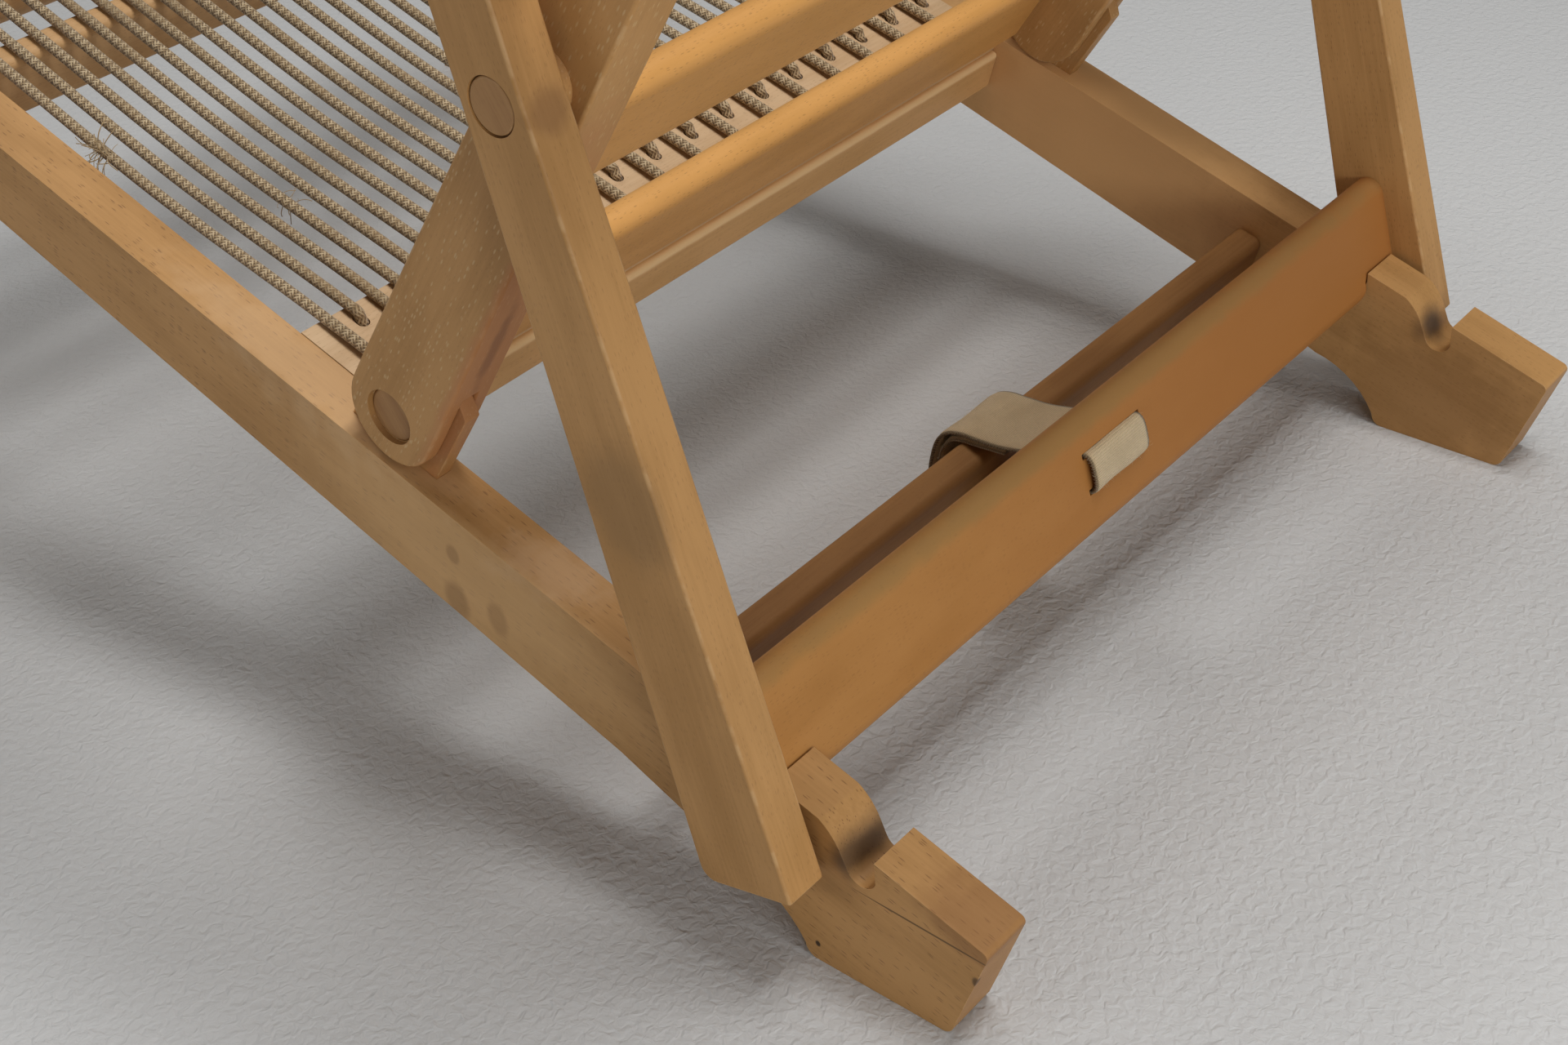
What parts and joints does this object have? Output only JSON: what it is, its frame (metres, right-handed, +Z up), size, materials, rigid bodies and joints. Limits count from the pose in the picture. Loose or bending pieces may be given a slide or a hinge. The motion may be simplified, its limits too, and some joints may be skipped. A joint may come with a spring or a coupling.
{
  "type": "folding lounge chair",
  "caption": "Low wooden folding lounge chair with cord seat and back, rear posts resting in notched seat rails, and armrests.",
  "frame": {"origin": "centre of the chair footprint on the floor", "axes": "+Z up, the front of the chair faces -Y, +X is to the left of a person who sits in it"},
  "size_m": [0.6712, 1.1152, 0.8858],
  "materials": {
    "beech": "satin",
    "pale_beech": "satin",
    "orange_beech": "satin",
    "cord": "matte",
    "webbing": "matte"
  },
  "bodies": {
    "seat_frame": {"left_seat_rail": "beech", "right_seat_rail": "beech", "left_pivot_lug": "beech", "right_pivot_lug": "beech", "left_pivot_dowel": "beech", "right_pivot_dowel": "beech", "rear_stretcher": "orange_beech", "middle_seat_bar": "beech", "rear_rope_board": "pale_beech", "rear_board_strip": "beech", "front_rope_board": "pale_beech", "front_board_strip": "beech", "seat_cord": "cord"},
    "back_frame": {"left_back_stile": "beech", "right_back_stile": "beech", "lower_back_bar": "beech", "upper_back_bar": "beech", "lower_back_rope_board": "pale_beech", "lower_back_strip": "beech", "upper_back_rope_board": "pale_beech", "upper_back_strip": "beech", "back_top_rail": "beech", "back_cord": "cord", "left_leg_dowel": "beech", "right_leg_dowel": "beech", "left_arm_dowel": "beech", "right_arm_dowel": "beech", "stile_washers": "pale_beech"},
    "leg_frame": {"left_rear_post": "beech", "right_rear_post": "beech", "leg_bar": "orange_beech", "webbing_strap": "webbing"},
    "left_arm": {"left_arm_rail": "beech", "left_arm_cap": "beech", "left_front_dowel": "beech"},
    "right_arm": {"right_arm_rail": "beech", "right_arm_cap": "beech", "right_front_dowel": "beech"},
    "front_legs": {"left_front_leg": "beech", "right_front_leg": "beech", "front_axle": "beech", "axle_spacers": "pale_beech"}
  },
  "joints": [
    {"name": "back_fold", "type": "hinge", "parent": "seat_frame", "child": "back_frame", "pos_m": [0, 0.08312, 0.2036], "axis": [1, 0, 0], "range_deg": [0, 103]},
    {"name": "leg_swing", "type": "hinge", "parent": "back_frame", "child": "leg_frame", "pos_m": [0, 0.22245, 0.40634], "axis": [1, 0, 0], "range_deg": [-39.5, 0], "deforming": ["webbing_strap"]},
    {"name": "left_arm_swing", "type": "hinge", "parent": "back_frame", "child": "left_arm", "pos_m": [0, 0.28023, 0.4904], "axis": [1, 0, 0], "range_deg": [-103.5, 0]},
    {"name": "right_arm_swing", "type": "hinge", "parent": "back_frame", "child": "right_arm", "pos_m": [0, 0.28023, 0.4904], "axis": [1, 0, 0], "range_deg": [-103.5, 0]},
    {"name": "front_leg_swing", "type": "hinge", "parent": "seat_frame", "child": "front_legs", "pos_m": [0, -0.33881, 0.28485], "axis": [1, 0, 0], "range_deg": [0, 103.5]}
  ],
  "couplings": [
    {"joint": "leg_swing", "follows": "back_fold", "ratio": -0.375},
    {"joint": "left_arm_swing", "follows": "back_fold", "ratio": -1},
    {"joint": "right_arm_swing", "follows": "back_fold", "ratio": -1},
    {"joint": "front_leg_swing", "follows": "back_fold", "ratio": 1}
  ]
}
